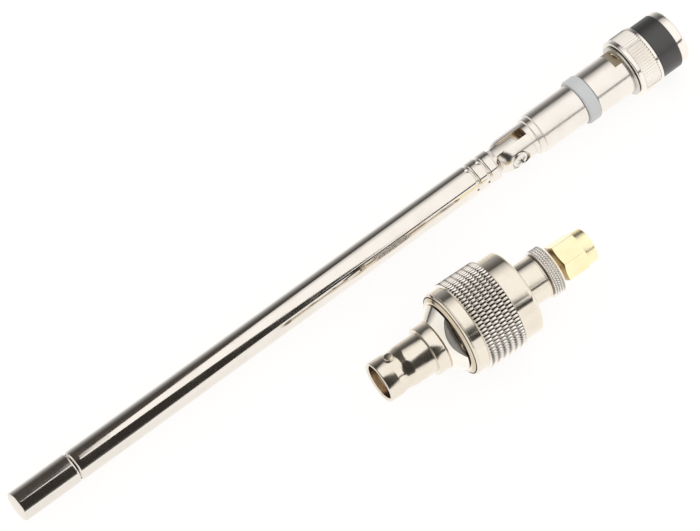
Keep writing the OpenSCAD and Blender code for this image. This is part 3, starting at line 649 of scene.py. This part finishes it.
JACK_R, JACK_BORE, WAIST_R, LUG_X = 4.83, 4.06, 4.53, 3.85
STEP_X, STEP_R, CONE_X, CONE_END, CONE_R, ACROSS, JOURNAL_R = 12.1, 5.75, 15.15, 17.9, 8.08, 13.0, 6.05
BORE_END, CORE_END, CORE_R = 8.4, 13.5, 2.4
outline = rounded([
    [0, JACK_BORE + 0.35, 0.05], [0, JACK_R, 0.3], [3.2, JACK_R, 0.15], [4.5, WAIST_R, 0.3], [5.3, WAIST_R, 0.2],
    [6.8, JACK_R, 0.4], [STEP_X, JACK_R, 0.05], [STEP_X, STEP_R, 0.15], [14.9, STEP_R, 0.2], [15.05, 5.45, 0.05],
    [CONE_X, 5.45, 0], [CONE_X, 5.85, 0.1], [CONE_END - 0.05, CONE_R, 0], [CONE_END, CONE_R, 0],
    [CONE_END, JOURNAL_R, 0], [20.8, JOURNAL_R, 0], [20.8, 5.6, 0], [21.6, 5.6, 0], [21.6, JOURNAL_R, 0],
    [22.8, JOURNAL_R, 0], [23, 5.85, 0], [23, 4.3, 0], [CORE_END, 4.3, 0], [CORE_END, CORE_R, 0],
    [BORE_END, CORE_R, 0], [BORE_END, JACK_BORE, 0], [0.35, JACK_BORE, 0]])
outline = finer(outline, CONE_X, CONE_END, 0.06, 5.9)
x, r = outline.T
milled = ((x >= CONE_X) & (x <= CONE_END) & (r > JOURNAL_R + 0.01))[:, None]
table = np.where(milled, np.minimum(r[:, None], flats(ACROSS, 2, math.radians(30), 360)), r[:, None])


def lug(turn):
    """A lug: a short round pin along the radius at LUG_X, its end rounded off."""
    h, w = rounded([[4.3, 0, 0], [4.3, 1, 0], [5.5, 1, 0.18], [5.5, 0, 0]]).T
    t = round_angles(48)
    side = w[:, None] * np.sin(t)
    up = np.broadcast_to(h[:, None], side.shape)
    c, s = math.cos(turn), math.sin(turn)
    return np.stack([LUG_X + w[:, None] * np.cos(t), side * c - up * s, side * s + up * c], axis=-1)


jack = piece("jack_barrel", [laid(spun(x, table, 360))] + [laid(lug(a)) for a in np.radians([-21, 159])],
             "adapter", "nickel", "jack_body", sharp=30)
jack_plate = metal("nickel on the adapter", (0.85, 0.785, 0.69), 0.12, lines=6.0, relief=0.05, yaw=yaw)
milled_plate = metal("nickel on milled flats", (0.62, 0.60, 0.57), 0.32, film=0.9, lines=3.0, relief=0.9, yaw=yaw)
# Painted shade: the bore is given a browned plate for the shade down inside it.
shaded_bore_plate = metal("bore browned as painted shade", (0.84, 0.70, 0.54), 0.17, film=0.5, yaw=yaw)
finish(jack, jack_plate, shaded_bore_plate, milled_plate, metal("polished cone", (0.97, 0.94, 0.88), 0.12, yaw=yaw))


def unlaid(points):
    """Points back in the adapter's own frame."""
    c, s = math.cos(yaw), math.sin(yaw)
    return (points - rim) @ np.array([[c, -s, 0], [s, c, 0], [0, 0, 1]])


middle, normal = faces_of(jack, unlaid)
out = np.hypot(*middle[:, 1:].T)
along = normal @ axis
in_bore = (middle[:, 0] < BORE_END + 0.1) & (out < JACK_BORE + 0.05) & (middle[:, 0] > 0.2)
collar = (middle[:, 0] > CONE_X) & (middle[:, 0] < CONE_END)
on_flat = collar & (out > 6.4) & (np.abs(along) < 0.3)
on_cone = collar & (out > 5.9) & (np.abs(along) >= 0.3)
second_finish(jack, in_bore + 2 * on_flat + 3 * on_cone)

jack_core = piece("jack_core", [laid(turned([
    [3.4, 0.9, 0.05], [3.4, CORE_R - 0.04, 0.2], [BORE_END, CORE_R - 0.04, 0], [BORE_END, CORE_R, 0],
    [CORE_END, CORE_R, 0], [CORE_END, 1.1, 0], [3.9, 1.1, 0], [3.9, 0.9, 0]], 96))],
    "adapter", "white_plastic", "jack_insulator")
finish(jack_core, white)
socket = [sector([[3.9, 0.69, 0.08], [3.9, 1.1, 0.08], [9, 1.1, 0], [9, 0.69, 0]], a + 0.11, a + np.pi - 0.11)
          for a in (np.pi / 2, 3 * np.pi / 2)]
socket.append(turned([[9, 0.69, 0], [9, 1.1, 0], [15, 1.1, 0], [15, 0, 0], [9.4, 0, 0], [9.4, 0.69, 0]], 64))
finish(piece("jack_socket", [laid(s) for s in socket], "adapter", "gold_plate", "jack_contact"),
       metal("gilt socket", (0.93, 0.74, 0.38), 0.18, relief=0.03, yaw=yaw))


# ---- Large threaded nut ----
# Loose nut on the jack body, with a bevelled rear, two smooth bands and a raised band of diamond
# knurling, rolled on. It screws on the thread of the neck, which it draws in.
RING_R, RING_REAR, RING_END, KNURL_A, KNURL_B, LINE_DEEP = 10.0, 18.15, 36.6, 21.9, 31.4, 0.07
THREAD_R, PITCH = 7.9, 25.4 / 24
outline = rounded([
    [RING_REAR, 6.1, 0], [RING_REAR, 8.75, 0.08], [RING_REAR + 0.55, 9.3, 0], [RING_REAR + 0.72, 9.28, 0],
    [RING_REAR + 0.62, 9.68, 0.05], [RING_REAR + 1.0, RING_R, 0.10], [RING_REAR + 1.1, RING_R, 0.02],
    [RING_REAR + 1.16, RING_R - LINE_DEEP, 0], [RING_REAR + 1.28, RING_R - LINE_DEEP, 0],
    [RING_REAR + 1.34, RING_R, 0.02], [KNURL_A, RING_R, 0],
    [KNURL_A, RING_R - 0.1, 0], [KNURL_B, RING_R - 0.1, 0], [RING_END - 0.6, RING_R - 0.1, 0.5],
    [RING_END, RING_R - 0.9, 0.5], [RING_END, THREAD_R + 0.35, 0.05], [RING_END - 0.3, THREAD_R + 0.05, 0],
    [23.5, THREAD_R + 0.05, 0], [23.5, 8.1, 0], [20.7, 8.1, 0], [20.7, 6.1, 0]])
ring = piece("large_nut_body", [laid(spun(*outline.T, 256))], "large_nut", "nickel", "ring_nut")
# Painted shade: the rear bevel is browned and the turned line is near black, for the shade at the nut's rear.
finish(ring, jack_plate, metal("bevel browned as painted shade", (0.70, 0.60, 0.47), 0.15, film=0.5, yaw=yaw),
       metal("painted shade in a turned line", (0.16, 0.13, 0.10), 0.5, relief=0.0))
middle, normal = faces_of(ring, unlaid)
out, place = np.hypot(*middle[:, 1:].T), middle[:, 0] - RING_REAR
in_line = (place > 0.56) & (place < 0.73) & (out < 9.6)
second_finish(ring, ((place < 0.55) & (out > 8.6)) + 2 * in_line)


def diamond_height(phase, f, number):
    """Height from 0 to 1 of a diamond knurl: two families of V grooves cross, at number turns plus
    and minus half the phase, the lower flank h counts, and 1 - (1 - h)^2 rounds its crests."""
    turns = f * number / (2 * np.pi)
    groove = lambda u: 1 - np.abs(2 * (u % 1) - 1)
    flank = np.minimum(groove(turns + phase / 2), groove(turns - phase / 2))
    return 1 - (1 - flank) ** 2


# The band's diamonds are blunt: in six columns, half a diamond apart, the grooves run straight
# along the axis, and they cross only at its two ends.
DIAMONDS, COLUMNS, DIAMOND_DEEP, DIAMOND_R, ROW_A, ROW_B = 74, 6, 0.52, 10.6, 22.15, 31.1
f = round_angles(DIAMONDS * 12)
stops = np.array([0, 0.06, 0.14, 0.5, 0.86, 0.94])
column = np.append((np.arange(COLUMNS)[:, None] + stops).ravel(), COLUMNS)
phase = np.floor(column - 0.5) + np.clip(((column - 0.5) % 1 - 0.5) / 0.16 + 0.5, 0, 1)
rows = DIAMOND_R - DIAMOND_DEEP + DIAMOND_DEEP * diamond_height(phase[:, None], f[None], DIAMONDS)
edge, foot = np.full((1, len(f)), DIAMOND_R - 0.12), np.full((1, len(f)), RING_R - 0.1)
x = np.concatenate([[KNURL_A, ROW_A - 0.06], ROW_A + column * (ROW_B - ROW_A) / COLUMNS, [ROW_B + 0.06, KNURL_B]])
band = piece("diamond_band", [laid(spun(x, np.concatenate([foot, edge, rows, edge, foot]), DIAMONDS * 12))],
             "large_nut", "nickel", "ring_knurl", sharp=55)
# Painted shade: the low flanks of the knurl are near black, for the shade in its valleys.
finish(band, metal("nickel on the knurl", (0.95, 0.91, 0.86), 0.11, film=0.35, relief=0.0, yaw=yaw),
       metal("painted shade in the knurl", (0.15, 0.125, 0.10), 0.40, relief=0.0))
middle, normal = faces_of(band, unlaid)
second_finish(band, (np.hypot(*middle[:, 1:].T) < DIAMOND_R - 0.55 * DIAMOND_DEEP) & (np.abs(normal @ axis) < 0.6))


# ---- Neck ----
# The threaded half that the large nut draws in. Behind its thread it is turned down to a plain
# barrel with a thin flange, against which the fine-knurled ring is screwed.
MATE_X, NECK_X, NECK_R, FLANGE_X, FLANGE_R = 24.1, 35.5, 5.0, 41.9, 5.1
outline = finer(rounded([
    [MATE_X, 4.05, 0], [MATE_X, THREAD_R - 0.4, 0], [MATE_X + 0.4, THREAD_R, 0], [NECK_X, THREAD_R, 0],
    [NECK_X, NECK_R, 0.15], [FLANGE_X, NECK_R, 0.03], [FLANGE_X, FLANGE_R, 0.02], [FLANGE_X + 0.3, FLANGE_R, 0.02],
    [FLANGE_X + 0.3, 5, 0], [44.5, 5, 0], [44.5, 1.9, 0], [34, 1.9, 0], [34, 4.05, 0]]),
    MATE_X + 0.4, NECK_X, PITCH / 8, THREAD_R - 0.01)
x, r = outline.T
f = round_angles(160)
threaded = ((x > MATE_X + 0.3) & (x < NECK_X - 0.4) & (r > THREAD_R - 0.01))[:, None]
vee = np.abs(2 * ((x[:, None] / PITCH - f[None] / (2 * np.pi)) % 1) - 1)
neck = piece("threaded_neck", [laid(spun(x, r[:, None] - threaded * 0.5 * np.clip(vee - 0.12, 0, 1), 160))],
             "neck", "nickel", "neck_body")
# Painted shade: the neck between the flange and the fine-knurled ring is dark, for the shade in the groove there.
finish(neck, jack_plate, metal("painted shade behind the ring", (0.30, 0.25, 0.19), 0.4, relief=0.0))
middle, normal = faces_of(neck, unlaid)
second_finish(neck, (middle[:, 0] > FLANGE_X + 0.25) & (np.hypot(*middle[:, 1:].T) > 4.9))


# ---- Fine-knurled ring ----
# Thin brass ring with a fine diamond knurl, rolled on, and a chamfer at its front edge. It is
# plated matt, and screwed over the end of the neck against the flange.
FINE_A, FINE_B, FINE_R, FINE_ROUND, FINE_PITCH, FINE_DEEP = 42.6, 45.6, 5.65, 60, 0.6, 0.24
outline = finer(rounded([
    [FINE_A, 5, 0], [FINE_A, FINE_R, 0.12], [FINE_B - 0.5, FINE_R, 0.02], [FINE_B, FINE_R - 0.5, 0.02],
    [FINE_B, 2.7, 0], [44.5, 2.7, 0], [44.5, 5, 0]]), FINE_A + 0.1, FINE_B - 0.5, 0.055, FINE_R - 0.01)
x, r = outline.T
f = round_angles(FINE_ROUND * 8)
cut = ((x > FINE_A + 0.2) & (x < FINE_B - 0.45) & (r > FINE_R - 0.01))[:, None]
height = diamond_height((x[:, None] - FINE_A) / FINE_PITCH, f[None], FINE_ROUND)
fine = piece("fine_knurl", [laid(spun(x, r[:, None] - cut * FINE_DEEP * (1 - height), FINE_ROUND * 8))],
             "neck", "nickel", "fine_ring", sharp=60)
fine_plate = metal("matt nickel on the fine knurl", (0.95, 0.91, 0.86), 0.24, relief=0.0, yaw=yaw)
fine_plate.node_tree.nodes["Principled BSDF"].inputs["Metallic"].default_value = 0.82
# Painted shade: the sunk faces of the fine knurl are greyer, for the shade in its valleys.
finish(fine, fine_plate, metal("painted shade in the fine knurl", (0.60, 0.56, 0.52), 0.40, relief=0.0))
middle, normal = faces_of(fine, unlaid)
sunk = (FINE_R - np.hypot(*middle[:, 1:].T)) / FINE_DEEP
second_finish(fine, (np.abs(middle[:, 0] - FINE_A - 1.35) < 1.15) & (np.abs(normal @ axis) < 0.6)
              & (sunk > 0.75) & (sunk < 1.2))


# ---- Small gold plug ----
# Gold-plated threaded plug: a loose hexagon nut with chamfered corners and a round collar, over
# a ferrule, a white insulator and a gilt pin.
REAR_X, HEX_A, HEX_B, MOUTH_X = 45.9, 47.1, 52.6, 55.1
GOLD_AF, CORNER_R, COLLAR_R, GOLD_BORE = 8.0, 4.62, 3.99, 2.9
outline = finer(rounded([
    [REAR_X, 2.75, 0.05], [REAR_X, 3.4, 0.05], [HEX_A - 0.2, 3.92, 0], [HEX_A, CORNER_R, 0.05],
    [HEX_B - 0.35, CORNER_R, 0.05], [HEX_B, 4.2, 0], [HEX_B, COLLAR_R, 0], [MOUTH_X, COLLAR_R, 0.25],
    [MOUTH_X, GOLD_BORE + 0.4, 0.05], [MOUTH_X - 0.4, GOLD_BORE, 0], [48.4, GOLD_BORE, 0], [48.4, 3.3, 0],
    [47.4, 3.3, 0], [47.4, 2.75, 0]]), REAR_X, HEX_B, 0.05, 3.5)
x, r = outline.T
six = flats(GOLD_AF, 6, math.radians(1.5), 360)
milled = ((x <= HEX_B + 1e-6) & (r > 3.55))[:, None]
gold_nut = piece("gold_hexagon_nut", [laid(spun(x, np.where(milled, np.minimum(r[:, None], six), r[:, None]), 360))],
                 "small_nut", "gold_plate", "gold_nut", sharp=30)
gold_plate = metal("gold plate", (1.0, 0.91, 0.60), 0.22, film=0.25, lines=6.0, relief=0.05, yaw=yaw)
# Painted shade: the rear chamfer of the hexagon is a dark gold, for the shade of the gap before it.
finish(gold_nut, gold_plate, metal("gold with painted shade", (0.46, 0.33, 0.15), 0.28, yaw=yaw))
middle, normal = faces_of(gold_nut, unlaid)
second_finish(gold_nut, (middle[:, 0] < HEX_A + 0.02) & (normal @ axis < -0.3))

ferrule = piece("small_ferrule", [laid(turned([
    [44.5, 1.9, 0], [44.5, 2.7, 0], [47.5, 2.7, 0], [47.5, 2.45, 0], [48.1, 2.45, 0], [48.1, 2.7, 0], [48.3, 2.7, 0],
    [48.3, 2.5, 0], [48.9, 2.5, 0], [48.9, 2.29, 0], [52.2, 2.29, 0.15], [52.2, 1.9, 0]], 128))],
    "neck", "gold_plate", "gold_ferrule")
finish(ferrule, gold_plate)
plug_white = piece("small_core", [laid(turned([
    [42.5, 0.64, 0], [42.5, 1.9, 0], [52.2, 1.9, 0], [52.2, 0.64, 0.05]], 96))],
    "neck", "white_plastic", "gold_insulator")
finish(plug_white, white)
small_pin = piece("small_centre_pin", [laid(turned([
    [34.5, 0, 0], [34.5, 0.64, 0], [52.2, 0.64, 0.05], [52.2, 0.457, 0], [53.9 + 0.457, 0.457, 0.4],
    [53.9 + 0.457, 0, 0]], 64))], "neck", "gold_plate", "gold_pin")
finish(small_pin, gold_plate)


# ---- Inner pieces ----
# Bushes, washers, clips, gaskets and contacts that stay inside keep the CAD model's shapes, and
# get the finish of the record's slot that each is made of.
bronze = metal("sprung bronze", (0.62, 0.42, 0.26), 0.26, film=0.4)
rubber = plastic("black rubber", (0.020, 0.020, 0.020), (0.030, 0.030, 0.028), 0.7)
red_rubber = plastic("red rubber", (0.36, 0.06, 0.05), (0.30, 0.05, 0.04), 0.6)
finish_of = {"nickel": turned_plate, "gold_plate": gilt, "bronze": bronze, "spring_steel": steel, "rubber": rubber,
             "red_rubber": red_rubber, "white_plastic": white}
for part in frame["record"]["subparts"]:
    if not frame["nodes"][part["node"]].hide_render:
        finish(frame["nodes"][part["node"]], finish_of[part["material_slot"]])


# ---- Table and light ----
# A white table top, with the light that it throws back as a sheet of its own, and large soft
# lights overhead and in front. Polished surfaces see these in a room that is bright below and
# dark above; everything else sees a plain white room.
TABLE_Z, TABLE_HALF = cad_bounds[0].z / MM, 2500
LAMP_TINT = (1.0, 0.985, 0.96, 1)


def sheet(name, corners, material):
    """A flat stage surface through corners in millimetres."""
    mesh = bpy.data.meshes.new(name)
    mesh.from_pydata([[c * MM for c in corner] for corner in corners], [], [list(range(len(corners)))])
    thing = bpy.data.objects.new(name, mesh)
    bpy.context.scene.collection.objects.link(thing)
    mesh.materials.append(material)
    return thing


def lamp_material(name, along, stops):
    """A glowing surface: its strength goes from the first to the last value between two places, in
    millimetres, along an axis."""
    (first, strong), (last, weak) = stops
    made = bpy.data.materials.new(name)
    made.use_nodes = True
    tree = made.node_tree
    tree.nodes.remove(tree.nodes["Principled BSDF"])
    place = node(tree, "SeparateXYZ", [("Vector", node(tree, "TexCoord").outputs["Object"])])
    fade = node(tree, "MapRange", [("Value", place.outputs[along])],
                From_Min=first * MM, From_Max=last * MM, To_Min=strong, To_Max=weak)
    glow = node(tree, "Emission", [("Strength", fade.outputs[0])], Color=LAMP_TINT)
    tree.links.new(glow.outputs[0], tree.nodes["Material Output"].inputs["Surface"])
    return made


def flat_corners(z, far):
    """Corners of a level sheet at height z, as wide as the table, from its near edge to y = far."""
    return [(-TABLE_HALF, -TABLE_HALF, z), (TABLE_HALF, -TABLE_HALF, z), (TABLE_HALF, far, z), (-TABLE_HALF, far, z)]


top = bpy.data.materials.new("white table")
top.use_nodes = True
tree = top.node_tree
tree.nodes.remove(tree.nodes["Principled BSDF"])
seen = node(tree, "LightPath").outputs["Is Camera Ray"]
paper = node(tree, "BsdfDiffuse", Color=(0.20, 0.19, 0.18, 1))
light = node(tree, "Emission", Color=(1, 1, 1, 1), Strength=0.84)
both = node(tree, "AddShader", [(0, paper.outputs[0]), (1, light.outputs[0])])
plain = node(tree, "BsdfDiffuse", Color=(0.9, 0.89, 0.87, 1))
mix = node(tree, "MixShader", [(0, seen), (1, plain.outputs[0]), (2, both.outputs[0])])
tree.links.new(mix.outputs[0], tree.nodes["Material Output"].inputs["Surface"])
table_top = sheet("table_top", flat_corners(TABLE_Z, TABLE_HALF), top)
table_top.visible_glossy = False

# The overhead light is cut to a shape, because its edges are what the tubes show as the ends of
# their bright bands.
overhead = sheet("overhead_light", [(x, y, 300) for x, y in (
    (-115, -1), (-96, -1), (-92, 85), (-83, 120), (-68, 151), (-41, 215), (-20, 266), (20, 360), (110, 560),
    (700, 560), (700, -445), (65, -445), (45, -385), (28, -362), (28, -340), (44, -325), (2, -200), (-42, -96),
    (-68, -63), (-94, -47), (-97, -31), (-115, -30))],
    lamp_material("overhead glow", "Y", [(150, 1.1), (500, 0.36)]))
front = sheet("front_light", [(x, -400, z) for x, z in (
    (-400, 60), (-55, 80), (0, 190), (600, 190), (600, -7), (-400, -7))],
    lamp_material("front glow", "X", [(-50, 1.0), (150, 1.12)]))
glow = sheet("table_glow", flat_corners(TABLE_Z - 1, -3), lamp_material("table glow", "X", [(-140, 0.98), (-50, 1.1)]))
for lamp in (overhead, front, glow):
    lamp.visible_camera = lamp.visible_diffuse = lamp.visible_shadow = lamp.visible_transmission = False

world = bpy.data.worlds.new("room")
bpy.context.scene.world = world
world.use_nodes = True
tree = world.node_tree
path = node(tree, "LightPath")
way = node(tree, "SeparateXYZ", [("Vector", node(tree, "TexCoord").outputs["Generated"])])
height = node(tree, "MapRange", [("Value", way.outputs["Z"])], From_Min=-1)


def height_ramp(stops):
    """Brightness of the room by the height of a direction: stops of (height, grey or colour)."""
    ramp = node(tree, "ValToRGB", [("Fac", height.outputs[0])])
    bar = ramp.color_ramp.elements
    while len(bar) < len(stops):
        bar.new(0.5)
    for element, (z, shade) in zip(bar, stops):
        element.position = (z + 1) / 2
        element.color = (*(np.ones(3) * shade), 1)
    return ramp.outputs["Color"]


DARK, DARKER = np.array([0.069, 0.061, 0.052]), np.array([0.033, 0.029, 0.024])
WARM = np.array([1, 0.975, 0.93])
behind = height_ramp([(-1, WARM), (-0.69, 0.95 * WARM), (-0.54, 0.82), (-0.36, 0.62), (-0.17, 0.39), (0.03, 0.25),
                      (0.23, 0.135), (0.42, DARK)])
before = height_ramp([(-1, WARM), (-0.1, 0.95 * WARM), (0.0, 0.5), (0.12, 0.2), (0.42, DARKER)])
beyond_tip = height_ramp([(-1, WARM), (0.2, 0.95 * WARM), (0.56, 0.85 * WARM), (0.66, DARK)])


def part_way(output, first, last):
    """0 to 1 as a component of the direction goes from first to last."""
    return node(tree, "MapRange", [("Value", way.outputs[output])], From_Min=first, From_Max=last).outputs[0]


across = node(tree, "Mix", [(0, part_way("Y", -0.12, 0.12)), (6, before), (7, behind)], data_type="RGBA")
room = node(tree, "Mix", [(0, part_way("X", -0.45, -0.62)), (6, across.outputs[2]), (7, beyond_tip)],
            data_type="RGBA")
whole = node(tree, "Mix", [(0, part_way("X", 0.72, 0.8)), (6, room.outputs[2])], data_type="RGBA")
whole.inputs[7].default_value = (*(0.95 * WARM), 1)
shown = node(tree, "Mix", [(0, path.outputs["Is Glossy Ray"]), (7, whole.outputs[2])], data_type="RGBA")
shown.inputs[6].default_value = (1, 1, 1, 1)
tree.links.new(shown.outputs[2], tree.nodes["Background"].inputs["Color"])


# ---- Camera ----
# A long lens nearly a metre and a half away, beyond the tip and in front, looking down steeply on
# both pieces as they lie.
AIM, AZIMUTH, ELEVATION, DISTANCE, LENS = (-88.8, 0.25, 0.0), -38.55, 65.0, 1430.0, 345.0
camera = bpy.data.objects.new("camera", bpy.data.cameras.new("camera"))
bpy.context.scene.collection.objects.link(camera)
azimuth, elevation = math.radians(AZIMUTH), math.radians(ELEVATION)
level = math.cos(elevation)
back = np.array([math.sin(azimuth) * level, -math.cos(azimuth) * level, math.sin(elevation)])
camera.location = (np.array(AIM) + DISTANCE * back) * MM
camera.rotation_euler = (math.pi / 2 - elevation, 0, azimuth)
camera.data.lens = LENS
camera.data.sensor_width = 36
camera.data.clip_end = 20
bpy.context.scene.camera = camera
bpy.context.scene.view_settings.view_transform = "Standard"
